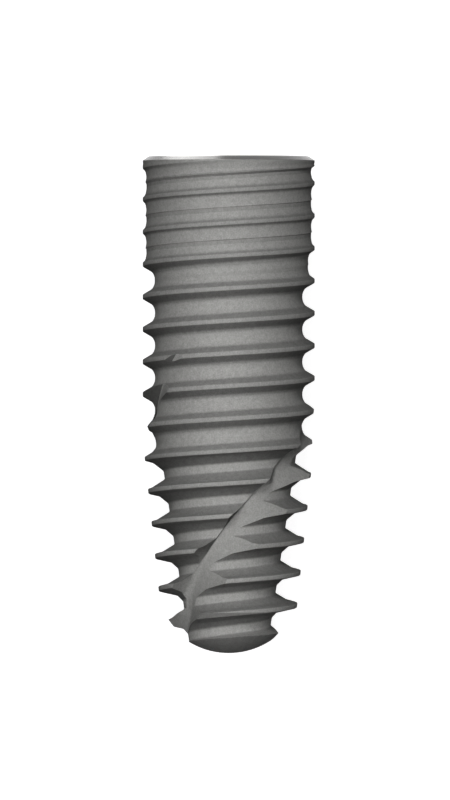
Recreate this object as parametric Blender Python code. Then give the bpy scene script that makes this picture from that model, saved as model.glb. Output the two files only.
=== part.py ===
# Dental implant: one turned, threaded and fluted titanium body, lying on its side.
#
# The body is modelled upright: its axis is Z, the platform is at z = 0 and the apex
# hangs below it. A depth is a distance down from the platform. A clock angle is
# measured about the axis from +X towards +Y. At the end the body is laid down with
# its platform towards +X, on the flat facet that its thread crests have at clock 90.

import bpy
from math import atan2, ceil, cos, hypot, pi, radians, sin, sqrt, tan
from mathutils import Euler

# Overall sizes, in metres
BODY_DIAMETER = 0.0045
BODY_LENGTH = 0.0130

# Rim of the platform
RIM_CHAMFER_WIDTH = 0.000165
RIM_CHAMFER_HEIGHT = 0.00011
RIM_BAND_DEPTH = 0.00014
GROOVE_RUN_IN = 0.0002

# Thread: one start, right hand
PITCH = 0.00085
FIRST_CREST_DEPTH = 0.00028
CREST_FLAT = 0.00011

# Collar grooves: a major crest each pitch and a lower, sharp crest halfway between
COLLAR_CREST_FLAT = 0.000086
COLLAR_LAND_HALF = 0.00011
COLLAR_LAND_DROP = 0.000068
COLLAR_GROOVE_DROP = 0.000098
COLLAR_MID_CREST_DROP = 0.000071
COLLAR_SLOPE_SHARE = 0.757
COLLAR_SLOPE_RISE_SHARE = 0.6
COLLAR_STEP_SHARE = 0.85
COLLAR_STEP_RISE_SHARE = 0.2
COLLAR_END_DEPTH = 0.0024

# Middle thread: straight flanks and a hollow root
THREAD_DROP = 0.000323
THREAD_START_DEPTH = 0.00327
THREAD_START_CURVE = 1.4
FLANK_FOOT_DROP = 0.000250
FLANK_ANGLE = 30.0
ROOT_HOLLOW = 0.000018
ROOT_SHOULDER_SHARE = 0.45
ROOT_FLOOR_SHARE = 0.72

# Tapered end: its crests, its core, and the thin fins that the crests become
TAPER_LENGTH = 0.00557
TAPER_HALF_ANGLE = 6.06
CORE_RUN_IN = 0.00045
CORE_DROP = 0.000424
CORE_HALF_ANGLE = 8.53
LOWER_FLANK_REACH = 0.000306
LOWER_FIN_EDGE = 0.000045
LOWER_FIN_HEIGHT = 0.00013
LOWER_FIN_GROWTH = 0.075
LOWER_FIN_ANGLE = 12.0
UPPER_FLANK_REACH = 0.000320
UPPER_FIN_EDGE = 0.000068
UPPER_FIN_HEIGHT = 0.00002
UPPER_FIN_GROWTH = 0.062
UPPER_FIN_ANGLE = 14.0
APEX_RADIUS = 0.0020

# Cutting flutes, lengths measured back from the apex
FLUTE_COUNT = 2
FLUTE_LEAD = 0.0121
FLUTE_APEX_CLOCK = -174.0
FLUTE_LENGTH = 0.00795
FLUTE_ENTRY_GAP = 0.0001
FLUTE_RUN_IN_LENGTH = 0.00115
FLUTE_RUN_IN_DROP = 0.00029
FLUTE_HEEL_LENGTH = 0.00591
FLUTE_HEEL_DROP = 0.00045
FLUTE_FULL_LENGTH = 0.00499
FLUTE_FULL_DROP = 0.00069
FLUTE_NARROW_LENGTH = 0.0038
FLUTE_FLOOR_SLOPE = 0.13
FLUTE_SPOON_LENGTH = 0.0016
FLUTE_TIP_LENGTH = 0.00088
FLUTE_TIP_DROP = 0.00119
FLUTE_OFFSET = 0.00043
FLUTE_START_OFFSET = 0.0003
FLUTE_RUN_IN_OFFSET = 0.00008
FLUTE_TIP_OFFSET = 0.000314
CUTTING_WALL_LEAN = 35.0
RUN_IN_WALL_LEAN = 83.6
SPOON_WALL_LEAN = 10.0
TIP_WALL_LEAN = 88.0
RELIEF_WALL_LEAN = 72.0
NARROW_RELIEF_LEAN = 65.5
FLUTE_FLOOR_FLAT = 0.00005
FLUTE_WALL_SHARES = (0.0, 0.5, 0.75, 1.0)
FLUTE_CUTTER_REACH = 1.5

# Inner connection: a cone, a hexagon, a relief bore and the hole for the screw
CONE_MOUTH_DIAMETER = 0.0033
CONE_HALF_ANGLE = 11.0
CONE_DEPTH = 0.0017
HEX_ACROSS_FLATS = 0.0022
HEX_DEPTH = 0.0029
HEX_CLOCK = 0.0
RELIEF_DIAMETER = 0.00205
RELIEF_DEPTH = 0.0033
SCREW_BORE_DIAMETER = 0.0016
SCREW_BORE_DEPTH = 0.0068
DRILL_POINT_ANGLE = 118.0

TITANIUM_COLOUR = (0.36, 0.36, 0.35, 1.0)
TITANIUM_ROUGHNESS = 0.55

# Fineness of the mesh
SEGMENTS = 32
SPARE_TURNS = 2
APEX_RINGS = 9
FLUTE_STEP_ANGLE = 10.0
CUT_MARGIN = 0.0004

CREST_RADIUS = BODY_DIAMETER / 2
TAPER_START_DEPTH = BODY_LENGTH - TAPER_LENGTH
REST_HEIGHT = CREST_RADIUS * cos(pi / SEGMENTS)


def blend(start, end, share):
    return start + (end - start) * share


def share_between(value, low, high):
    return min(1.0, max(0.0, (value - low) / (high - low)))


def at_clock(radius, clock, depth):
    return (radius * cos(radians(clock)), radius * sin(radians(clock)), -depth)


# Thread form
def crest_radius(depth):
    fall = max(0.0, depth - TAPER_START_DEPTH) * tan(radians(TAPER_HALF_ANGLE))
    return CREST_RADIUS - fall


def core_drop(depth):
    """Drop from the crests to the core cone, in the tapered end."""
    below = depth - TAPER_START_DEPTH
    return CORE_DROP + below * (tan(radians(CORE_HALF_ANGLE)) - tan(radians(TAPER_HALF_ANGLE)))


def collar_form(root_depth, side):
    """Points from a crest's middle to mid pitch: distance along the axis, and drop.

    The crest at mid pitch leaves the rim at full height. Its lower side is steeper.
    """
    quarter = (COLLAR_LAND_HALF + PITCH / 2) / 2
    share, rise = COLLAR_SLOPE_SHARE, COLLAR_SLOPE_RISE_SHARE
    if side > 0:
        share, rise = COLLAR_STEP_SHARE, COLLAR_STEP_RISE_SHARE
    off_rim = share_between(root_depth, FIRST_CREST_DEPTH, FIRST_CREST_DEPTH + PITCH / 2)
    mid_drop = COLLAR_MID_CREST_DROP * off_rim
    return [
        (COLLAR_CREST_FLAT / 2, 0.0),
        (COLLAR_LAND_HALF, COLLAR_LAND_DROP),
        (quarter, COLLAR_GROOVE_DROP),
        (blend(quarter, PITCH / 2, share), blend(COLLAR_GROOVE_DROP, mid_drop, rise)),
        (PITCH / 2, mid_drop),
    ]


def thread_form():
    foot = CREST_FLAT / 2 + FLANK_FOOT_DROP * tan(radians(FLANK_ANGLE))
    return [
        (CREST_FLAT / 2, 0.0),
        (foot, FLANK_FOOT_DROP),
        (blend(foot, PITCH / 2, ROOT_SHOULDER_SHARE), THREAD_DROP - ROOT_HOLLOW),
        (blend(foot, PITCH / 2, ROOT_FLOOR_SHARE), THREAD_DROP - ROOT_HOLLOW / 4),
        (PITCH / 2, THREAD_DROP),
    ]


def fin_form(root_depth, side):
    """Side is 1 below the root's middle, where the next crest's upper flank is, else -1."""
    below = max(0.0, root_depth - TAPER_START_DEPTH)
    if side < 0:
        edge, reach = LOWER_FIN_EDGE, LOWER_FLANK_REACH
        fin = LOWER_FIN_HEIGHT + below * LOWER_FIN_GROWTH
        foot = edge + fin * tan(radians(LOWER_FIN_ANGLE))
    else:
        edge, reach = UPPER_FIN_EDGE, UPPER_FLANK_REACH
        fin = UPPER_FIN_HEIGHT + below * UPPER_FIN_GROWTH
        foot = edge + fin * tan(radians(UPPER_FIN_ANGLE))
    form = [(edge, 0.0), (foot, fin)]
    for along in (reach, blend(reach, PITCH / 2, 0.5), PITCH / 2):
        form.append((along, core_drop(root_depth + side * (PITCH / 2 - along))))
    return form


def flank(root_depth, side):
    """Half a pitch beside a root: five distances from the crest's middle, with drops."""
    into_thread = share_between(root_depth, COLLAR_END_DEPTH, THREAD_START_DEPTH)
    into_thread = into_thread ** THREAD_START_CURVE
    into_taper = share_between(root_depth, TAPER_START_DEPTH, TAPER_START_DEPTH + CORE_RUN_IN)
    points = []
    forms = (collar_form(root_depth, side), thread_form(), fin_form(root_depth, side))
    for collar, thread, fin in zip(*forms):
        along = blend(blend(collar[0], thread[0], into_thread), fin[0], into_taper)
        drop = blend(blend(collar[1], thread[1], into_thread), fin[1], into_taper)
        points.append((along, drop))
    return points


def pitch_rows(crest_depth):
    """One pitch of the thread from a crest down to the next, as depths and radii."""
    root_depth = crest_depth + PITCH / 2
    rows = [(crest_depth + along, drop) for along, drop in flank(root_depth, -1)]
    back = flank(root_depth, 1)[:-1]
    rows += [(crest_depth + PITCH - along, drop) for along, drop in reversed(back)]
    placed = []
    for depth, drop in rows:
        fade = share_between(depth, RIM_BAND_DEPTH, RIM_BAND_DEPTH + GROOVE_RUN_IN)
        placed.append((depth, crest_radius(depth) - drop * fade))
    return placed


# Mesh helpers
def new_object(name, vertices, faces):
    mesh = bpy.data.meshes.new(name)
    mesh.from_pydata(vertices, [], faces)
    mesh.validate()
    made = bpy.data.objects.new(name, mesh)
    bpy.context.scene.collection.objects.link(made)
    return made


def new_cutter(name, vertices, faces):
    made = new_object(name, vertices, faces)
    made.hide_render = True
    made.display_type = "WIRE"
    return made


def add_boolean(target, cutter, operation):
    modifier = target.modifiers.new(cutter.name, "BOOLEAN")
    modifier.operation = operation
    modifier.solver = "EXACT"
    modifier.object = cutter


def turned(name, outline, clock):
    """Closed solid turned about the axis; the outline is radii and depths, top to tip."""
    top = outline[0][1]
    bottom = outline[-1][1]
    rings = outline[1:-1]
    vertices = []
    for radius, depth in rings:
        for column in range(SEGMENTS):
            vertices.append(at_clock(radius, clock + 360.0 * column / SEGMENTS, depth))
    top_pole = len(vertices)
    vertices += [(0.0, 0.0, -top), (0.0, 0.0, -bottom)]
    faces = []
    last = (len(rings) - 1) * SEGMENTS
    for column in range(SEGMENTS):
        beside = (column + 1) % SEGMENTS
        faces.append((top_pole, column, beside))
        faces.append((top_pole + 1, last + beside, last + column))
        for ring in range(len(rings) - 1):
            upper = ring * SEGMENTS
            lower = upper + SEGMENTS
            faces.append((upper + column, lower + column, lower + beside))
            faces.append((upper + column, lower + beside, upper + beside))
    return new_cutter(name, vertices, faces)


# Pieces of the body
def threaded_blank():
    """The thread as one helical sheet, longer than the body and closed at both ends.

    A row that runs once round comes back one pitch higher, so at the seam each
    row joins the row one pitch above it.
    """
    turns = ceil(BODY_LENGTH / PITCH) + 2 * SPARE_TURNS
    step = 360.0 / SEGMENTS
    columns = []
    for column in range(SEGMENTS):
        clock = -180.0 + step * (column + 0.5)
        rise = PITCH * (clock + 180.0) / 360.0
        rows = []
        for turn in range(turns):
            rows += pitch_rows(FIRST_CREST_DEPTH + PITCH * (turn - SPARE_TURNS) - rise)
        columns.append([at_clock(radius, clock, depth) for depth, radius in rows])
    per_pitch = len(columns[0]) // turns
    count = len(columns[0])
    vertices = [point for rows in columns for point in rows]
    top_pole = len(vertices)
    vertices.append((0.0, 0.0, columns[0][0][2]))
    vertices.append((0.0, 0.0, columns[0][-1][2]))
    faces = []

    def vertex(column, row):
        return column * count + row

    def add_strip(left, right, lift):
        for row in range(lift, count - 1):
            a = vertex(left, row)
            b = vertex(left, row + 1)
            c = vertex(right, row + 1 - lift)
            d = vertex(right, row - lift)
            faces.append((a, b, c))
            faces.append((a, c, d))

    for column in range(SEGMENTS - 1):
        add_strip(column, column + 1, 0)
    add_strip(SEGMENTS - 1, 0, per_pitch)
    top_edge = [vertex(column, 0) for column in range(SEGMENTS)]
    top_edge += [vertex(SEGMENTS - 1, row) for row in range(1, per_pitch + 1)]
    low_edge = [vertex(column, count - 1) for column in range(SEGMENTS)]
    low_edge += [vertex(0, row) for row in range(count - 1 - per_pitch, count - 1)]
    for edge, pole, turn_over in ((top_edge, top_pole, False), (low_edge, top_pole + 1, True)):
        for here, there in zip(edge, edge[1:] + edge[:1]):
            faces.append((pole, there, here) if turn_over else (pole, here, there))
    return new_object("implant_body", vertices, faces)


def envelope():
    """What the thread is trimmed to: the flat platform, its chamfer and the domed apex."""
    outer = CREST_RADIUS + CUT_MARGIN
    chamfer_run = RIM_CHAMFER_HEIGHT * (RIM_CHAMFER_WIDTH + CUT_MARGIN) / RIM_CHAMFER_WIDTH
    outline = [
        (0.0, 0.0),
        (CREST_RADIUS - RIM_CHAMFER_WIDTH, 0.0),
        (outer, chamfer_run),
        (outer, TAPER_START_DEPTH),
    ]
    for ring in range(APEX_RINGS):
        polar = pi / 2 * (1 - ring / APEX_RINGS)
        depth = BODY_LENGTH - APEX_RADIUS * (1 - cos(polar))
        outline.append((APEX_RADIUS * sin(polar), depth))
    outline.append((0.0, BODY_LENGTH))
    return turned("envelope", outline, 0.0)


def wall_exit(offset, height, lean, radius):
    """Where a flute wall that leans this far from the radial line leaves the circle."""
    along = (sin(radians(lean)), cos(radians(lean)))
    middle = offset * along[0] + height * along[1]
    length = -middle + sqrt(middle ** 2 + radius ** 2 - offset ** 2 - height ** 2)
    return (offset + along[0] * length, height + along[1] * length)


def wall_points(edge, foot):
    return [tuple(blend(a, b, share) for a, b in zip(edge, foot)) for share in FLUTE_WALL_SHARES]


def flute_section(station):
    """Outline of the cut across the axis: sideways and outwards from the flute's centre."""
    offset, drop, cutting_lean, relief_lean = station
    height = CREST_RADIUS - drop
    circle = hypot(offset, max(height, CREST_RADIUS)) + CUT_MARGIN
    floor_left = (-offset - FLUTE_FLOOR_FLAT / 2, height)
    floor_right = (-offset + FLUTE_FLOOR_FLAT / 2, height)
    left = wall_exit(*floor_left, -cutting_lean, circle)
    right = wall_exit(*floor_right, relief_lean, circle)
    middle = atan2(left[0] + right[0], left[1] + right[1])
    outside = circle * FLUTE_CUTTER_REACH
    crown = (outside * sin(middle), outside * cos(middle))
    left_wall = wall_points(left, floor_left)
    right_wall = wall_points(right, floor_right)[::-1]
    corners = [tuple(value * FLUTE_CUTTER_REACH for value in point) for point in (right, left)]
    return left_wall + right_wall + [corners[0], crown, corners[1]]


def flute_stations():
    """Distance back from the apex, then offset, drop and the lean of both walls."""
    run_in = (FLUTE_RUN_IN_OFFSET, FLUTE_RUN_IN_DROP, RUN_IN_WALL_LEAN, RELIEF_WALL_LEAN)
    full = (FLUTE_OFFSET, FLUTE_FULL_DROP, CUTTING_WALL_LEAN, RELIEF_WALL_LEAN)
    full_span = FLUTE_FULL_LENGTH - FLUTE_SPOON_LENGTH
    spoon_drop = FLUTE_FULL_DROP + FLUTE_FLOOR_SLOPE * full_span
    spoon = (FLUTE_OFFSET, spoon_drop, SPOON_WALL_LEAN, NARROW_RELIEF_LEAN)
    tip = (FLUTE_TIP_OFFSET, FLUTE_TIP_DROP, TIP_WALL_LEAN, NARROW_RELIEF_LEAN)
    run_in_end = FLUTE_LENGTH - FLUTE_RUN_IN_LENGTH
    entry = FLUTE_LENGTH + FLUTE_ENTRY_GAP * FLUTE_RUN_IN_LENGTH / FLUTE_RUN_IN_DROP
    heel_share = (run_in_end - FLUTE_HEEL_LENGTH) / (run_in_end - FLUTE_FULL_LENGTH)
    heel = [blend(a, b, heel_share) for a, b in zip(run_in, full)]
    heel[1] = FLUTE_HEEL_DROP
    narrow_share = (FLUTE_FULL_LENGTH - FLUTE_NARROW_LENGTH) / full_span
    narrow = [blend(a, b, narrow_share) for a, b in zip(full, spoon)]
    narrow[3] = NARROW_RELIEF_LEAN
    return [
        (entry, FLUTE_START_OFFSET, -FLUTE_ENTRY_GAP, RUN_IN_WALL_LEAN, RELIEF_WALL_LEAN),
        (run_in_end, *run_in),
        (FLUTE_HEEL_LENGTH, *heel),
        (FLUTE_FULL_LENGTH, *full),
        (FLUTE_NARROW_LENGTH, *narrow),
        (FLUTE_SPOON_LENGTH, *spoon),
        (FLUTE_TIP_LENGTH, *tip),
        (-CUT_MARGIN, *tip),
    ]


def flute_cutter(name, clock):
    stations = flute_stations()
    rings = []
    for start, end in zip(stations, stations[1:]):
        twist = 360.0 * (start[0] - end[0]) / FLUTE_LEAD
        steps = max(1, round(twist / FLUTE_STEP_ANGLE))
        for step in range(steps):
            rings.append([blend(a, b, step / steps) for a, b in zip(start, end)])
    rings.append(list(stations[-1]))
    vertices = []
    for distance, *station in rings:
        centre = clock + 360.0 * distance / FLUTE_LEAD
        for sideways, outwards in flute_section(station):
            angle = centre + atan2(sideways, outwards) * 180.0 / pi
            vertices.append(at_clock(hypot(sideways, outwards), angle, BODY_LENGTH - distance))
    around = len(vertices) // len(rings)
    faces = []
    for ring in range(len(rings) - 1):
        for corner in range(around):
            beside = (corner + 1) % around
            a = ring * around + corner
            b = ring * around + beside
            faces.append((a, b, b + around))
            faces.append((a, b + around, a + around))
    last = len(vertices) - around
    faces.append(tuple(range(around - 1, -1, -1)))
    faces.append(tuple(last + corner for corner in range(around)))
    return new_cutter(name, vertices, faces)


def socket_bore():
    mouth = CONE_MOUTH_DIAMETER / 2
    fall = tan(radians(CONE_HALF_ANGLE))
    relief = RELIEF_DIAMETER / 2
    bore = SCREW_BORE_DIAMETER / 2
    point = bore / tan(radians(DRILL_POINT_ANGLE / 2))
    outline = [
        (0.0, -CUT_MARGIN),
        (mouth + CUT_MARGIN * fall, -CUT_MARGIN),
        (mouth - CONE_DEPTH * fall, CONE_DEPTH),
        (relief, CONE_DEPTH),
        (relief, RELIEF_DEPTH),
        (bore, RELIEF_DEPTH + (relief - bore)),
        (bore, SCREW_BORE_DEPTH),
        (0.0, SCREW_BORE_DEPTH + point),
    ]
    return turned("socket_bore", outline, 180.0 / SEGMENTS)


def socket_hex():
    corner = HEX_ACROSS_FLATS / 2 / cos(pi / 6)
    top = CONE_DEPTH - CUT_MARGIN / 2
    vertices = []
    for depth in (top, HEX_DEPTH):
        vertices += [at_clock(corner, HEX_CLOCK + 60.0 * side, depth) for side in range(6)]
    faces = [(0, 1, 2, 3, 4, 5), (11, 10, 9, 8, 7, 6)]
    for side in range(6):
        beside = (side + 1) % 6
        faces.append((side, side + 6, beside + 6, beside))
    return new_cutter("socket_hex", vertices, faces)


def titanium():
    material = bpy.data.materials.new("blasted_titanium")
    material.use_nodes = True
    shader = material.node_tree.nodes["Principled BSDF"]
    shader.inputs["Base Color"].default_value = TITANIUM_COLOUR
    shader.inputs["Metallic"].default_value = 1.0
    shader.inputs["Roughness"].default_value = TITANIUM_ROUGHNESS
    return material


def build():
    for old in list(bpy.data.objects):
        bpy.data.objects.remove(old)
    body = threaded_blank()
    add_boolean(body, envelope(), "INTERSECT")
    for number in range(FLUTE_COUNT):
        clock = FLUTE_APEX_CLOCK + 360.0 * number / FLUTE_COUNT
        add_boolean(body, flute_cutter(f"flute_{number + 1}", clock), "DIFFERENCE")
    add_boolean(body, socket_bore(), "DIFFERENCE")
    add_boolean(body, socket_hex(), "DIFFERENCE")
    body.data.materials.append(titanium())
    laid_down = Euler((-pi / 2, 0.0, -pi / 2))
    for placed in bpy.data.objects:
        placed.location = (BODY_LENGTH / 2, 0.0, REST_HEIGHT)
        placed.rotation_euler = laid_down


build()
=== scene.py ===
from math import atan2, cos, hypot, pi, radians, sin, sqrt, tan

import bmesh
import bpy
from mathutils import Matrix, Vector


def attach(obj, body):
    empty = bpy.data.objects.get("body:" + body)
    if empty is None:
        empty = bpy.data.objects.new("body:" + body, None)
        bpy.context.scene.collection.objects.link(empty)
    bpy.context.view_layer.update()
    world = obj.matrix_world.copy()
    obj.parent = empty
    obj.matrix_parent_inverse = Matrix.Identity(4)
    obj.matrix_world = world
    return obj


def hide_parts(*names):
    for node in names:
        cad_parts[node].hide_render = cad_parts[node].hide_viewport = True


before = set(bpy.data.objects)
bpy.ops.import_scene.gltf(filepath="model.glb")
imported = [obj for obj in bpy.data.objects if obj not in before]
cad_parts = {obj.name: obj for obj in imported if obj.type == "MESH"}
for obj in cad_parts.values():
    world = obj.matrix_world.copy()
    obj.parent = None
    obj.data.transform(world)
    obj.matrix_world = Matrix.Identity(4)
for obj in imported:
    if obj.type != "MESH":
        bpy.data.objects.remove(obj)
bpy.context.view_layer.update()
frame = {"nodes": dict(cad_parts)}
print("frame loaded:", ", ".join(frame["nodes"]))

millimetre = 0.001  # the implant is built upright in millimetres, then laid down in metres
mostRounding = 0.45  # the share of an edge that the rounding of one of its ends may take

# the fixture's outside: platform at depth 0, tip at the full length
body = {
    "diameter": 4.5,
    "length": 13.0,
    "cadSegments": 32,  # it lies on a facet of the CAD model's thread crests
    "segments": 200,
    "chamferWidth": 0.165,
    "chamferHeight": 0.11,
    "edgeRounding": 0.012,
    "tipRadius": 2.0,
    "tipRings": 28,
    "tipShade": 0.9,  # how much of the flanks' painted shade the dome gets
    "taperLength": 5.57,
    "margin": 0.4,  # how far the solid that trims it reaches past it
    "weldDistance": 0.0005,
    "leastEdge": 0.0002,
    "sharpAngle": 34.0,
}
restHeight = body["diameter"] / 2 * cos(pi / body["cadSegments"])


class Wire:  # a node's socket that can stand in an expression
    def __init__(self, tree, socket):
        self.tree = tree
        self.socket = socket

    def add(self, kind, inputs=(), output=0, items=2, **settings):
        made = self.tree.nodes.new(kind)
        for name, value in settings.items():
            setattr(made, name, value)
        for extra in range(items - 2):
            made.index_switch_items.new()
        for key, value in inputs.items() if isinstance(inputs, dict) else enumerate(inputs):
            if isinstance(value, Wire):
                self.tree.links.new(value.socket, made.inputs[key])
            else:
                made.inputs[key].default_value = value
        return Wire(self.tree, made.outputs[output])

    def maths(self, operation, *values):
        return self.add("ShaderNodeMath", (self, *values), operation=operation)

    def between(self, low, high):  # 0 at low, 1 at high, level outside them
        return ((self - low) / (high - low)).maths("MAXIMUM", 0.0).maths("MINIMUM", 1.0)

    def swap(self, operation, value):
        return self.add("ShaderNodeMath", (value, self), operation=operation)

    def __add__(self, other):
        return self.maths("ADD", other)

    def __radd__(self, other):
        return self.swap("ADD", other)

    def __sub__(self, other):
        return self.maths("SUBTRACT", other)

    def __rsub__(self, other):
        return self.swap("SUBTRACT", other)

    def __mul__(self, other):
        return self.maths("MULTIPLY", other)

    def __rmul__(self, other):
        return self.swap("MULTIPLY", other)

    def __truediv__(self, other):
        return self.maths("DIVIDE", other)

    def __rtruediv__(self, other):
        return self.swap("DIVIDE", other)

    def __pow__(self, other):
        return self.maths("POWER", other)


def blend(start, end, share):
    return start + (end - start) * share


# what the thread tree takes, by the names of its inputs
bodyThread = {
    "Segments": body["segments"],
    "Turns": 20,
    "Spare Turns": 2,
    "Pitch": 0.85,
    "First Crest Depth": 0.28,
    "Crest Radius": body["diameter"] / 2,
    "Rim Depth": 0.155,
    "Rim Run In": 0.2,
    "Crest Flat": 0.11,
    "Edge Rounding": 0.012,
    "Corner Rounding": 0.035,
    "Flank Angle": radians(30),
    "Foot Drop": 0.25,
    "Thread Drop": 0.323,
    "Root Hollow": 0.018,
    "Collar Crest Flat": 0.086,
    "Collar Land Half": 0.11,
    "Collar Land Drop": 0.068,
    "Collar Groove Drop": 0.098,
    "Collar Mid Crest Drop": 0.071,
    "Collar Slope Share": 0.757,
    "Collar Slope Rise": 0.6,
    "Collar Step Share": 0.85,
    "Collar Step Rise": 0.2,
    "First Step Share": 0.6,
    "First Step Rise": 0.0,
    "First Step Shift": 0.03,
    "Collar End": 2.4,
    "Thread Start": 3.27,
    "Thread Start Curve": 1.4,
    "Taper Start": body["length"] - body["taperLength"],
    "Taper Angle": radians(6.06),
    "Core Run In": 0.45,
    "Core Drop": 0.424,
    "Core Angle": radians(8.53),
    "Lower Reach": 0.306,
    "Lower Fin Edge": 0.045,
    "Lower Fin Height": 0.13,
    "Lower Fin Growth": 0.075,
    "Lower Fin Angle": radians(12),
    "Upper Reach": 0.32,
    "Upper Fin Edge": 0.068,
    "Upper Fin Height": 0.02,
    "Upper Fin Growth": 0.062,
    "Upper Fin Angle": radians(14),
}

# the M2 thread in the screw hole comes from the same tree, with other sizes
screwThread = dict(bodyThread)
screwThread.update({
    "Segments": 72,
    "Turns": 10,
    "Spare Turns": 1,
    "Pitch": 0.4,
    "First Crest Depth": 3.3,
    "Crest Radius": 1.0,
    "Rim Depth": -9.0,
    "Crest Flat": 0.06,
    "Edge Rounding": 0.006,
    "Corner Rounding": 0.012,
    "Foot Drop": 0.19,
    "Thread Drop": 0.205,
    "Root Hollow": 0.004,
    "Collar End": -2.0,
    "Thread Start": -1.0,
    "Taper Start": 90.0,
})

# how the sheet is made that both threads are rolled from
threadSheet = {
    "knots": 11,  # points of the form from a crest's edge to the middle of the root
    "cornerPull": 0.3,  # how much a rounding's middle keeps of the corner
    "rootShares": (0.45, 0.72),  # where the hollow begins and ends between flank and root
    "closing": 0.25,  # turns left out at both ends, where the sheet closes on the axis
    "mergeDistance": 0.0002,
}

# how much of the flanks' painted shade the other parts of the form get
paintedShadeShares = {
    "crest": 0.2,
    "crestTowardsTip": 0.2,
    "foot": 0.5,
    "shoulders": (0.7, 0.4),
    "fin": 0.5,
    "firstStep": 0.8,
    "upperLoss": 0.4,
    "rim": 0.4,
    "collar": 0.08,
}


def roundedCorner(before, corner, after, size):
    def towards(other):
        across = [there - here for here, there in zip(corner, other)]
        span = (across[0] * across[0] + across[1] * across[1]) ** 0.5
        share = (size / span).maths("MINIMUM", mostRounding)
        return [here + step * share for here, step in zip(corner, across)]

    start = towards(before)
    end = towards(after)
    pull = threadSheet["cornerPull"]
    middle = [(a + b) * ((1 - pull) / 2) + here * pull for a, here, b in zip(start, corner, end)]
    return [start, middle, end]


# the three forms, each five corners from a crest's edge to the middle of the root
def collarForm(size, half, upper, later, midCrest):
    quarter = (size["Collar Land Half"] + half) / 2
    groove = size["Collar Groove Drop"]
    share, rise = [
        blend(size["Collar Slope " + name],
              blend(size["First Step " + name], size["Collar Step " + name], later), upper)
        for name in ("Share", "Rise")
    ]
    shift = (upper * 2 - 1) * size["First Step Shift"] * (1 - later)
    return [
        (size["Collar Crest Flat"] / 2, 0.0),
        (size["Collar Land Half"], size["Collar Land Drop"]),
        (quarter, groove),
        (blend(quarter, half, share) + shift, blend(groove, midCrest, rise)),
        (half + shift, midCrest),
    ]


def threadForm(size, half):
    foot = size["Crest Flat"] / 2 + size["Foot Drop"] * size["Flank Angle"].maths("TANGENT")
    deepest = size["Thread Drop"]
    hollow, shallow = [blend(foot, half, share) for share in threadSheet["rootShares"]]
    return [
        (size["Crest Flat"] / 2, 0.0),
        (foot, size["Foot Drop"]),
        (hollow, deepest - size["Root Hollow"]),
        (shallow, deepest - size["Root Hollow"] / 4),
        (half, deepest),
    ]


def finForm(size, half, upper, root, taper):
    def either(name):
        return blend(size["Lower " + name], size["Upper " + name], upper)

    steeper = size["Core Angle"].maths("TANGENT") - taper
    below = (root - size["Taper Start"]).maths("MAXIMUM", 0.0)
    fin = either("Fin Height") + below * either("Fin Growth")
    edge = either("Fin Edge")
    reach = either("Reach")
    fins = [(edge, 0.0), (edge + fin * either("Fin Angle").maths("TANGENT"), fin)]
    for out in (reach, (reach + half) / 2, half):
        coreDepth = root + (upper * 2 - 1) * (half - out) - size["Taper Start"]
        fins.append((out, size["Core Drop"] + coreDepth * steeper))
    return fins


# painted shade, darkest on the flanks and most on the side of the tip; crests and roots get less
def paintedShadeByKnot(upper, later, intoThread, intoTaper):
    tone = paintedShadeShares
    lower = (1 - upper) * intoThread
    shoulders = [(lower * share).maths("MAXIMUM", intoTaper) for share in tone["shoulders"]]
    return [
        tone["crest"],
        tone["crest"] + lower * tone["crestTowardsTip"],
        1.0,
        1.0,
        lower.maths("MAXIMUM", blend(tone["foot"], 1.0, intoTaper)),
        *shoulders,
        intoTaper * tone["fin"],
        0.0,
        upper * (1 - intoThread),
        (1 - later) * tone["firstStep"],
    ]


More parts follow.
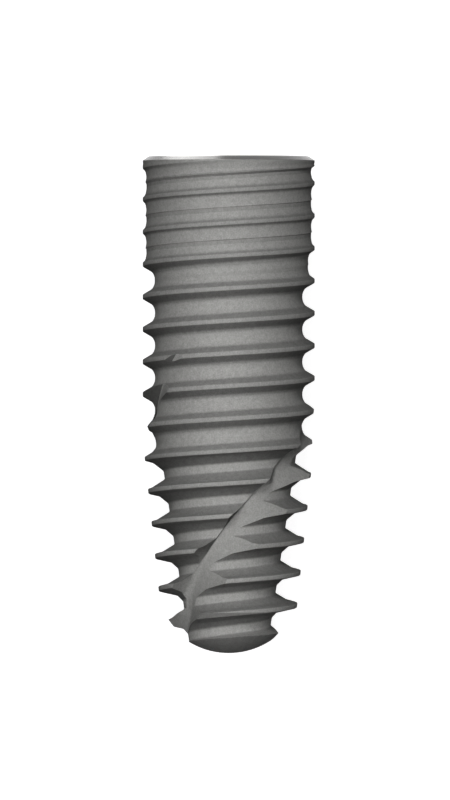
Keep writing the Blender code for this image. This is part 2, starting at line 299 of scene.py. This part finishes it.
def threadTree():
    tree = bpy.data.node_groups.new("threadSheet", "GeometryNodeTree")
    tree.interface.new_socket(name="Geometry", in_out="INPUT", socket_type="NodeSocketGeometry")
    whole = ("Segments", "Turns", "Spare Turns")
    for name, value in bodyThread.items():
        kind = "NodeSocketInt" if name in whole else "NodeSocketFloat"
        tree.interface.new_socket(name=name, in_out="INPUT", socket_type=kind).default_value = value
    tree.interface.new_socket(name="Material", in_out="INPUT", socket_type="NodeSocketMaterial")
    tree.interface.new_socket(name="Geometry", in_out="OUTPUT", socket_type="NodeSocketGeometry")
    given = tree.nodes.new("NodeGroupInput")
    size = {name: Wire(tree, given.outputs[name]) for name in [*bodyThread, "Material"]}
    pitch = size["Pitch"]
    half = pitch / 2
    knots = threadSheet["knots"]
    perPitch = 2 * knots - 1
    rows = size["Turns"] * perPitch

    # where each point of the grid stands: its column, its turn and its place in the form
    index = pitch.add("GeometryNodeInputIndex")
    column = (index / rows).maths("FLOOR")
    row = index - column * rows
    turn = (row / perPitch).maths("FLOOR")
    place = row - turn * perPitch
    upper = place.maths("GREATER_THAN", knots - 0.5)  # 1 on the side of the next crest
    knot = blend(place, perPitch - 1 - place, upper)
    round360 = column / size["Segments"]
    firstCrest = size["First Crest Depth"]
    crest = firstCrest + pitch * (turn - size["Spare Turns"] - round360)
    root = crest + half

    # collar runs into thread, and thread into fins, with the depth of the root
    firstMiddle = firstCrest + half
    later = root.between(firstMiddle, firstMiddle + half)  # 0 on the turn that leaves the rim
    midCrest = size["Collar Mid Crest Drop"] * root.between(firstCrest, firstMiddle)
    taper = size["Taper Angle"].maths("TANGENT")
    collar = collarForm(size, half, upper, later, midCrest)
    fins = finForm(size, half, upper, root, taper)
    intoThread = root.between(size["Collar End"], size["Thread Start"]) ** size["Thread Start Curve"]
    intoTaper = root.between(size["Taper Start"], size["Taper Start"] + size["Core Run In"])
    zero = pitch * 0.0
    corners = [[zero, zero]]
    for three in zip(collar, threadForm(size, half), fins):
        mixed = []
        for first, second, third in zip(*three):
            mixed.append(blend(blend(first + zero, second, intoThread), third, intoTaper))
        corners.append(mixed)
    form = []
    for number, rounding in ((1, "Edge Rounding"), (2, "Corner Rounding"), (3, "Corner Rounding")):
        form += roundedCorner(*corners[number - 1:number + 2], size[rounding])
    form += corners[4:]

    def atKnot(values):
        return pitch.add("GeometryNodeIndexSwitch", (knot, *values), items=knots, data_type="FLOAT")

    along, drop = [atKnot([point[axis] for point in form]) for axis in (0, 1)]
    depth = crest + blend(along, pitch - along, upper)
    fade = depth.between(size["Rim Depth"], size["Rim Depth"] + size["Rim Run In"])
    # painted shade at each knot of the form, less on the upper flank and near the rim, some over the
    # collar
    flank = atKnot(paintedShadeByKnot(upper, later, intoThread, intoTaper))
    flank = flank * (1 - upper * paintedShadeShares["upperLoss"]) * blend(paintedShadeShares["rim"], 1.0, fade)
    flank = flank + (1 - intoThread) * paintedShadeShares["collar"]
    flank = pitch.add("GeometryNodeFieldOnDomain", (flank,), domain="POINT", data_type="FLOAT")

    # the ends close in a point on the axis, past the step where the last turn ends
    fall = (depth - size["Taper Start"]).maths("MAXIMUM", 0.0) * taper
    radius = size["Crest Radius"] - fall - drop * fade
    closing = threadSheet["closing"]
    top = firstCrest - pitch * (size["Spare Turns"] - closing)
    low = firstCrest + pitch * (size["Turns"] - size["Spare Turns"] - (1 + closing))
    radius = radius * (depth.maths("GREATER_THAN", top) * depth.maths("LESS_THAN", low))
    depth = depth.maths("MAXIMUM", top).maths("MINIMUM", low)
    clock = (round360 - 0.5) * (2 * pi)
    point = pitch.add("ShaderNodeCombineXYZ", (
        radius * clock.maths("COSINE"), radius * clock.maths("SINE"), depth * -1.0))
    sheet = pitch.add("GeometryNodeMeshGrid", {
        "Vertices X": size["Segments"] + 1, "Vertices Y": rows})
    shaped = pitch.add("GeometryNodeSetPosition", {"Geometry": sheet, "Position": point})
    # the painted shade goes onto the faces as an attribute
    marked = pitch.add("GeometryNodeStoreNamedAttribute", {
        "Geometry": shaped, "Name": "flank", "Value": flank}, domain="FACE", data_type="FLOAT")
    joined = pitch.add("GeometryNodeMergeByDistance", {
        "Geometry": marked, "Distance": threadSheet["mergeDistance"]})
    outwards = pitch.add("GeometryNodeFlipFaces", (joined,))
    finished = pitch.add("GeometryNodeSetMaterial", {
        "Geometry": outwards, "Material": size["Material"]})
    taken = tree.nodes.new("NodeGroupOutput")
    tree.links.new(finished.socket, taken.inputs[0])
    return tree


def meshObject(name, vertices, faces):
    mesh = bpy.data.meshes.new(name)
    mesh.from_pydata(vertices, [], faces)
    if faces:
        # every face carries the painted shade attribute, none unless set
        mesh.attributes.new("flank", "FLOAT", "FACE")
    made = bpy.data.objects.new(name, mesh)
    bpy.context.scene.collection.objects.link(made)
    return made


def settled(made):  # the evaluated shape as a plain mesh, with no modifier left
    bpy.context.view_layer.update()
    evaluated = made.evaluated_get(bpy.context.evaluated_depsgraph_get())
    mesh = bpy.data.meshes.new_from_object(evaluated)
    made.modifiers.clear()
    made.data = mesh
    return made


def threadSolid(name, tree, sizes, material):
    made = meshObject(name, [], [])
    modifier = made.modifiers.new("thread", "NODES")
    modifier.node_group = tree
    for entry in tree.interface.items_tree:
        if entry.in_out == "INPUT" and entry.name in sizes:
            modifier[entry.identifier] = sizes[entry.name]
        elif entry.in_out == "INPUT" and entry.name == "Material":
            modifier[entry.identifier] = material
    settled(made)
    shape = bmesh.new()
    shape.from_mesh(made.data)
    bmesh.ops.triangulate(shape, faces=shape.faces, quad_method="FIXED")
    shape.to_mesh(made.data)
    shape.free()
    return made


def roundCorners(points, radii, steps=4):  # a flat outline with its corners rounded
    outline = [points[0]]
    for before, here, after, radius in zip(points, points[1:], points[2:], radii):
        corner = Vector(here)
        back = Vector(before) - corner
        ahead = Vector(after) - corner
        reach = min(radius, back.length * mostRounding, ahead.length * mostRounding)
        start = corner + back.normalized() * reach
        end = corner + ahead.normalized() * reach
        for step in range(steps + 1):
            share = step / steps
            nearer = start.lerp(corner, share).lerp(corner.lerp(end, share), share)
            outline.append(tuple(nearer))
    outline.append(points[-1])
    return outline


def turned(name, outline, segments):  # outline: radii and depths, from the top down
    rings = outline[1:-1]
    vertices = []
    for radius, depth in rings:
        for column in range(segments):
            clock = 2 * pi * column / segments
            vertices.append((radius * cos(clock), radius * sin(clock), -depth))
    pole = len(vertices)
    vertices += [(0.0, 0.0, -outline[0][1]), (0.0, 0.0, -outline[-1][1])]
    last = (len(rings) - 1) * segments
    faces = []
    for column in range(segments):
        beside = (column + 1) % segments
        faces += [(pole, column, beside), (pole + 1, last + beside, last + column)]
        for ring in range(0, last, segments):
            below = ring + segments
            faces.append((ring + column, below + column, below + beside, ring + beside))
    return meshObject(name, vertices, faces)


def lofted(name, sections):  # closed solid through sections of as many points each
    around = len(sections[0])
    vertices = [point for section in sections for point in section]
    faces = [tuple(reversed(range(around)))]
    faces.append(tuple(range(len(vertices) - around, len(vertices))))
    for start in range(0, len(vertices) - around, around):
        for corner in range(around):
            a = start + corner
            b = start + (corner + 1) % around
            faces += [(a, b, b + around), (a, b + around, a + around)]
    return meshObject(name, vertices, faces)


def envelope():  # keeps what is within platform, chamfer and domed tip
    radius = body["diameter"] / 2
    outer = radius + body["margin"]
    chamfer = body["chamferHeight"] * (body["chamferWidth"] + body["margin"]) / body["chamferWidth"]
    top = roundCorners(
        [(0.0, 0.0), (radius - body["chamferWidth"], 0.0), (outer, chamfer)],
        [body["edgeRounding"]])
    outline = top + [(outer, body["length"] - body["taperLength"])]
    for ring in range(body["tipRings"]):
        polar = pi / 2 * (1 - ring / body["tipRings"])
        fall = body["tipRadius"] * (1 - cos(polar))
        outline.append((body["tipRadius"] * sin(polar), body["length"] - fall))
    outline.append((0.0, body["length"]))
    made = turned("envelope", outline, body["segments"])
    marks = made.data.attributes["flank"].data
    # painted shade on the domed tip
    for face in made.data.polygons:
        if face.center.z < body["tipRadius"] - body["length"]:
            marks[face.index].value = body["tipShade"]
    return made


# cutting flutes: a row gives the distance from the tip, the sideways offset and the drop
# of the floor, then how far the cutting wall and the relief wall lean off the radial line
flute = {
    "count": 2,
    "lead": 12.1,
    "clockAtTip": -174.0,
    "rows": [
        (8.347, 0.3, -0.1, 83.6, 72.0),
        (6.8, 0.08, 0.29, 83.6, 72.0),
        (5.91, 0.252, 0.45, 59.9, 72.0),
        (4.99, 0.41, 0.69, 39.0, 72.0),
        (3.8, 0.413, 0.845, 31.0, 65.5),
        (2.7, 0.4, 0.988, 29.5, 65.5),
        (1.6, 0.43, 1.131, 10.0, 65.5),
        (0.88, 0.314, 1.19, 88.0, 65.5),
        (-0.4, 0.314, 1.19, 88.0, 65.5),
    ],
    # by distance from the tip: the floor's flat width, and the painted shade of floor and wall
    "floorFlat": [(-0.5, 0.24), (1.6, 0.24), (2.6, 0.05), (9.0, 0.05)],
    "floorShade": [(-0.5, 0.15), (3.9, 0.15), (4.7, 0.0), (9.0, 0.0)],
    "wallShade": [(-0.5, 0.15), (2.2, 0.15), (2.8, 1.2), (9.0, 1.2)],
    "floorRounding": 0.11,
    "floorSteps": 5,
    "step": 0.06,
    "wallPieces": 10,
    "reliefPieces": 24,
    "margin": 0.4,
    "reach": 1.5,  # how many times further out the cutter closes than it leaves the body
}


def wallExit(offset, height, lean, radius):  # where a leaning wall meets the circle
    outX, outY = sin(radians(lean)), cos(radians(lean))
    middle = offset * outX + height * outY
    length = -middle + sqrt(middle ** 2 + radius ** 2 - offset ** 2 - height ** 2)
    return (offset + outX * length, height + outY * length)


def valueAt(rows, distance):  # a value given at a few distances from the tip
    for (start, first), (end, second) in zip(rows, rows[1:]):
        if distance <= end:
            break
    return blend(first, second, (distance - start) / (end - start))


def jointSlope(low, high, column, rise):  # the slope where two stretches of rows meet
    if low is high:
        return rise
    near = (high[column] - low[column]) / (high[0] - low[0])
    return 0.0 if near * rise <= 0 else 2 * near * rise / (near + rise)


def fluteAt(distance):  # the rows' values, run smoothly from one row to the next
    rows = flute["rows"]
    for first, second in zip(rows, rows[1:]):
        if distance >= second[0] or second is rows[-1]:
            break
    number = rows.index(first)
    before = rows[max(0, number - 1)]
    after = rows[min(len(rows) - 1, number + 2)]
    span = second[0] - first[0]
    share = (distance - first[0]) / span
    cube, square = share ** 3, share ** 2
    values = []
    for column in range(1, len(first)):
        rise = (second[column] - first[column]) / span
        startSlope = jointSlope(before, first, column, rise) * span
        endSlope = jointSlope(second, after, column, rise) * span
        values.append(
            first[column] * (2 * cube - 3 * square + 1) + startSlope * (cube - 2 * square + share)
            + second[column] * (3 * square - 2 * cube) + endSlope * (cube - square))
    return values


def fluteSection(distance):
    offset, drop, cuttingLean, reliefLean = fluteAt(distance)
    flat = valueAt(flute["floorFlat"], distance)
    height = body["diameter"] / 2 - drop
    circle = hypot(offset, max(height, body["diameter"] / 2)) + flute["margin"]
    footLeft = (-offset - flat / 2, height)
    footRight = (-offset + flat / 2, height)
    left = wallExit(*footLeft, -cuttingLean, circle)
    right = wallExit(*footRight, reliefLean, circle)
    rounding = [flute["floorRounding"], flute["floorRounding"]]
    cut = roundCorners([left, footLeft, footRight, right], rounding, steps=flute["floorSteps"])
    counts = [flute["wallPieces"]] + [1] * (len(cut) - 3) + [flute["reliefPieces"]]
    section = []
    for here, there, pieces in zip(cut, cut[1:], counts):
        for step in range(pieces):
            section.append(tuple(blend(a, b, step / pieces) for a, b in zip(here, there)))
    far = flute["reach"]
    middle = atan2(left[0] + right[0], left[1] + right[1])
    crown = (far * circle * sin(middle), far * circle * cos(middle))
    return section + [right, (right[0] * far, right[1] * far), crown, (left[0] * far, left[1] * far)]


def fluteCutter(name, clock):
    start = flute["rows"][0][0]
    end = flute["rows"][-1][0]
    steps = round((start - end) / flute["step"])
    sections = []
    for step in range(steps + 1):
        distance = start + (end - start) * step / steps
        centre = clock + 360 * distance / flute["lead"]
        section = []
        for sideways, outwards in fluteSection(distance):
            angle = radians(centre) + atan2(sideways, outwards)
            far = hypot(sideways, outwards)
            section.append((far * cos(angle), far * sin(angle), distance - body["length"]))
        sections.append(section)
    made = lofted(name, sections)
    marks = made.data.attributes["flank"].data
    # painted shade on the flute's cutting wall and floor
    for number in range(2, len(marks)):  # the first two faces close the ends
        section, piece = divmod((number - 2) // 2, len(sections[0]))
        rows = flute["wallShade" if piece < flute["wallPieces"] else "floorShade"]
        marks[number].value = valueAt(rows, sections[section][0][2] + body["length"])
    return made


# inner connection: cone, hexagon, relief bore and the hole for the abutment's screw
socket = {
    "segments": 96,
    "mouthDiameter": 3.3,
    "mouthRounding": 0.03,
    "coneAngle": 11.0,
    "coneDepth": 1.7,
    "hexAcrossFlats": 2.2,
    "hexDepth": 2.9,
    "hexCornerRadius": 0.12,
    "reliefDiameter": 2.05,
    "reliefDepth": 3.3,
    "edgeRounding": 0.02,
    "stepRounding": 0.03,
    "boreDiameter": 1.6,
    "boreDepth": 6.8,
    "drillAngle": 118.0,
    "margin": 0.4,
}


def socketCutters():
    fall = tan(radians(socket["coneAngle"]))
    mouth = socket["mouthDiameter"] / 2
    relief = socket["reliefDiameter"] / 2
    bore = socket["boreDiameter"] / 2
    margin = socket["margin"]
    cone = socket["coneDepth"]
    lip = socket["mouthRounding"]
    soft = socket["edgeRounding"]
    softer = socket["stepRounding"]
    corners = [
        (0.0, -margin),
        (mouth + lip + margin, -margin),
        (mouth - lip * fall, lip),
        (mouth - cone * fall, cone),
        (relief, cone),
        (relief, socket["reliefDepth"]),
        (bore, socket["reliefDepth"] + relief - bore),
        (bore, socket["boreDepth"]),
        (0.0, socket["boreDepth"] + bore / tan(radians(socket["drillAngle"] / 2))),
    ]
    outline = roundCorners(corners, [0.0, soft, soft, 0.0, softer, soft, 0.0], steps=2)
    drilled = turned("socketBore", outline, socket["segments"])
    corner = socket["hexAcrossFlats"] / 2 / cos(pi / 6)
    ring = []
    for number in range(8):  # six corners, and two again for the rounding of the first and last
        ring.append((corner * cos(pi / 3 * number), corner * sin(pi / 3 * number)))
    flats = roundCorners(ring, [socket["hexCornerRadius"]] * 6)[1:-1]
    ends = (cone - margin / 2, socket["hexDepth"])
    hexagon = lofted("socketHex", [[(x, y, -depth) for x, y in reversed(flats)] for depth in ends])
    return [drilled, hexagon]


def cutBy(made, cutter, operation):
    modifier = made.modifiers.new(cutter.name, "BOOLEAN")
    modifier.operation = operation
    modifier.solver = "MANIFOLD"
    modifier.object = cutter


def makeImplant(material):
    tree = threadTree()
    made = threadSolid("threadedImplant", tree, bodyThread, material)
    print("thread:", len(made.data.polygons), "faces")
    cutters = [envelope()]
    cutBy(made, cutters[0], "INTERSECT")
    for number in range(flute["count"]):
        clock = flute["clockAtTip"] + 360 / flute["count"] * number
        cutters.append(fluteCutter("flute" + str(number + 1), clock))
    cutters += socketCutters()
    cutters.append(threadSolid("screwThread", tree, screwThread, material))
    for cutter in cutters[1:]:
        cutBy(made, cutter, "DIFFERENCE")
    for cutter in cutters:  # so that the cut faces get the same finish
        cutter.data.materials.clear()
        cutter.data.materials.append(material)
    settled(made)
    for cutter in cutters:
        bpy.data.objects.remove(cutter)
    shape = bmesh.new()
    shape.from_mesh(made.data)
    bmesh.ops.remove_doubles(shape, verts=shape.verts, dist=body["weldDistance"])
    bmesh.ops.dissolve_degenerate(shape, edges=shape.edges, dist=body["leastEdge"])
    shape.to_mesh(made.data)
    shape.free()
    laidDown = Matrix.Translation((body["length"] / 2 * millimetre, 0, restHeight * millimetre))
    laidDown @= Matrix.Rotation(-pi / 2, 4, "Z") @ Matrix.Rotation(-pi / 2, 4, "X")
    made.data.transform(laidDown @ Matrix.Scale(millimetre, 4))
    made.data.shade_smooth()
    made.data.set_sharp_from_angle(angle=radians(body["sharpAngle"]))
    print("implant:", len(made.data.polygons), "faces")
    return made


titanium = {
    "blastedColour": (0.32, 0.319, 0.309, 1.0),
    "blastedGloss": 0.0,
    "blastedRoughness": 0.62,
    "roughnessSpread": 0.12,
    "paintedShadeStrength": 0.52,
    "grainSize": 0.035,
    "grainWeight": 1.4,
    "mottleSize": 0.12,
    "mottleWeight": 0.8,
    "noiseRoughness": 0.55,
    "grainHeight": 0.0016,
    "unevenness": 0.5,
    "machinedColour": (0.26, 0.257, 0.25, 1.0),
    "machinedRoughness": 0.24,
    "machinedEdge": 0.006,
    # the chamfer's dark base colour is a painted dark reflection on the polished ring
    "chamferPaintedReflection": (0.08, 0.079, 0.077, 1.0),
    "chamferFade": (0.008, 0.03),  # depths between which the chamfer's painted dark reflection comes in
    "insideRadius": 1.75,  # at the platform; within it the finish is machined
    "insideTaper": 0.05,
    "insideFade": 0.02,
    "insideEnd": (7.55, 7.6),
    "turningMarkWidth": 0.018,
    "turningMarkHeight": 0.0004,
}


def newMaterial(name):
    material = bpy.data.materials.new(name)
    material.use_nodes = True
    return material, material.node_tree, material.node_tree.nodes["Principled BSDF"]


def mixedColours(share, first, second):  # a Mix node's colours are its inputs 6 and 7
    return share.add("ShaderNodeMix", {"Factor": share, 6: first, 7: second},
                     output=2, data_type="RGBA")


def titaniumMaterial():
    material, tree, shader = newMaterial("blastedTitanium")
    coordinates = Wire(tree, tree.nodes.new("ShaderNodeTexCoord").outputs["Object"])
    place = coordinates.add("ShaderNodeVectorMath", {0: coordinates, "Scale": 1 / millimetre},
                            operation="SCALE")
    split = place.add("ShaderNodeSeparateXYZ", (place,))
    x, y, z = [Wire(tree, output) for output in split.socket.node.outputs]
    depth = body["length"] / 2 - x
    radius = (y * y + (z - restHeight) * (z - restHeight)) ** 0.5

    # machined: the platform with its chamfer, and all of the inner connection
    chamferEnd = body["chamferHeight"]
    platform = 1 - depth.between(chamferEnd, chamferEnd + titanium["machinedEdge"])
    wall = titanium["insideRadius"] - depth * titanium["insideTaper"]
    within = 1 - radius.between(wall, wall + titanium["insideFade"])
    inside = within * (1 - depth.between(*titanium["insideEnd"]))
    machined = platform.maths("MAXIMUM", inside)
    # where the chamfer's painted dark reflection goes
    chamfer = depth.between(*titanium["chamferFade"]) * (1 - inside)

    def noise(size, detail):
        return place.add("ShaderNodeTexNoise", {
            "Vector": place, "Scale": 1 / size, "Detail": detail,
            "Roughness": titanium["noiseRoughness"]})

    # painted shade: the faces' attribute darkens the blasted colour; grain and mottle add random tone
    flank = place.add("ShaderNodeAttribute", output="Fac", attribute_name="flank")
    grain = noise(titanium["grainSize"], 3.0)
    mottle = noise(titanium["mottleSize"], 2.0)
    speckle = (grain - 0.5) * titanium["grainWeight"] + (mottle - 0.5) * titanium["mottleWeight"]
    grainAndPaintedShade = (1 + speckle * titanium["unevenness"]) * (1 - flank * titanium["paintedShadeStrength"])
    blastedWithPaintedShade = place.add("ShaderNodeVectorMath", {0: titanium["blastedColour"][:3], "Scale": grainAndPaintedShade},
                        operation="SCALE")
    machinedWithPaintedReflection = mixedColours(chamfer, titanium["machinedColour"], titanium["chamferPaintedReflection"])
    marks = ((radius + depth) * (2 * pi / titanium["turningMarkWidth"])).maths("SINE")
    relief = blend(grain * titanium["grainHeight"] + mottle * titanium["grainHeight"],
                   marks * titanium["turningMarkHeight"], machined)
    rough = titanium["blastedRoughness"] + (mottle - 0.5) * titanium["roughnessSpread"]
    wires = {
        "Base Color": mixedColours(machined, blastedWithPaintedShade, machinedWithPaintedReflection),
        "Roughness": blend(rough, titanium["machinedRoughness"], machined),
        "Metallic": machined,
        "Normal": place.add("ShaderNodeBump", {
            "Height": relief * millimetre, "Distance": 1.0, "Strength": 1.0}),
    }
    for name, wire in wires.items():
        tree.links.new(wire.socket, shader.inputs[name])
    shader.inputs["Specular IOR Level"].default_value = titanium["blastedGloss"]
    return material


studio = {
    "lens": 900.0,
    "sensorWidth": 36.0,
    "frameHeight": 20.93,
    "aimAlong": 0.122,
    "aimAcross": 0.097,
    "cameraTilt": 0.1,
    "clipping": (0.01, 100.0),
    "keyLean": (0.0, 3.5),  # towards the platform, and towards the picture's left
    "keyHeight": 11.0,
    "keySize": (44.0, 3.0),
    "keySpread": 31.0,
    "keyPower": 0.00031,
    "sunLean": (23.0, 4.0),
    "sunAngle": 14.0,
    "sunPower": 1.15,
    "cardPlace": (9.28, 1.86, 2.0),  # beyond the platform, low and at the picture's left
    "cardAim": (6.45, 1.5, 3.75),  # the chamfer
    "cardSize": (2.7, 2.5),
    "cardPower": 0.00011,
    "fillLevel": 0.06,
    "floorSize": 3.0,
    "floorColour": 0.5,
    "floorRoughness": 0.9,
    "floorGlow": 0.95,
}


def seenDirectly(tree):  # camera, mirror and glass rays, which see the pale studio
    path = tree.nodes.new("ShaderNodeLightPath")
    rays = [Wire(tree, path.outputs[name]) for name in
            ("Is Camera Ray", "Is Glossy Ray", "Is Transmission Ray")]
    return rays[0].maths("MAXIMUM", rays[1]).maths("MAXIMUM", rays[2])


def makeFloor(level):
    side = studio["floorSize"] / 2
    corners = [(-side, -side, level), (side, -side, level), (side, side, level), (-side, side, level)]
    made = meshObject("studioFloor", corners, [(0, 1, 2, 3)])
    material, tree, shader = newMaterial("paleFloor")
    grey = studio["floorColour"]
    shader.inputs["Base Color"].default_value = (grey, grey, grey, 1.0)
    shader.inputs["Roughness"].default_value = studio["floorRoughness"]
    shader.inputs["Specular IOR Level"].default_value = 0.0
    shader.inputs["Emission Color"].default_value = (1.0, 1.0, 1.0, 1.0)
    glow = seenDirectly(tree) * studio["floorGlow"]  # with the lit grey it makes white
    tree.links.new(glow.socket, shader.inputs["Emission Strength"])
    made.data.materials.append(material)


def makeWorld():
    world = bpy.data.worlds.new("paleStudio")
    bpy.context.scene.world = world
    world.use_nodes = True
    tree = world.node_tree
    background = tree.nodes["Background"]
    level = blend(studio["fillLevel"], 1.0, seenDirectly(tree))
    tree.links.new(level.socket, background.inputs["Strength"])
    background.inputs["Color"].default_value = (1.0, 1.0, 1.0, 1.0)


def placed(data, place, back, along):  # faces away from back, its width as near along as it goes
    up = back.cross(along).normalized()
    made = bpy.data.objects.new(data.name, data)
    bpy.context.scene.collection.objects.link(made)
    turn = Matrix((up.cross(back), up, back)).transposed().to_4x4()
    made.matrix_world = Matrix.Translation(place) @ turn
    return made


def rectangleLamp(name, size, power):
    lamp = bpy.data.lights.new(name, "AREA")
    lamp.shape = "RECTANGLE"
    lamp.size, lamp.size_y = [side * millimetre for side in size]
    lamp.energy = power
    return lamp


def makeLamps():
    strip = rectangleLamp("keyStrip", studio["keySize"], studio["keyPower"])
    strip.spread = radians(studio["keySpread"])
    sun = bpy.data.lights.new("softSun", "SUN")
    sun.angle = radians(studio["sunAngle"])
    sun.energy = studio["sunPower"]
    middle = Vector((0, 0, restHeight)) * millimetre
    for lamp, (forward, sideways) in ((strip, studio["keyLean"]), (sun, studio["sunLean"])):
        back = Vector((tan(radians(forward)), tan(radians(sideways)), 1)).normalized()
        place = middle + back * studio["keyHeight"] * millimetre
        placed(lamp, place, back, Vector((1, 0, 0)))

    # only reflections see this one, and only the machined metal reflects
    place = Vector(studio["cardPlace"]) * millimetre
    back = (place - Vector(studio["cardAim"]) * millimetre).normalized()
    card = rectangleLamp("chamferCard", studio["cardSize"], studio["cardPower"])
    made = placed(card, place, back, Vector((0, 0, 1)).cross(back))
    made.visible_camera = False
    made.visible_diffuse = False


def makeCamera():
    camera = bpy.data.cameras.new("frontCamera")
    camera.lens = studio["lens"]
    camera.sensor_width = studio["sensorWidth"]
    camera.clip_start, camera.clip_end = studio["clipping"]
    tilt = radians(studio["cameraTilt"])
    back = Vector((-sin(tilt), 0, cos(tilt)))
    aim = Vector((studio["aimAlong"], studio["aimAcross"], restHeight)) * millimetre
    away = studio["frameHeight"] * millimetre * studio["lens"] / studio["sensorWidth"]
    bpy.context.scene.camera = placed(camera, aim + back * away, back, Vector((0, -1, 0)))


implant = makeImplant(titaniumMaterial())
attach(implant, "root")
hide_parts("implant_body")

makeFloor(min(vertex.co.z for vertex in implant.data.vertices))
makeWorld()
makeLamps()
makeCamera()
bpy.context.scene.view_settings.view_transform = "Standard"
print("studio: floor, world, lamps and camera")
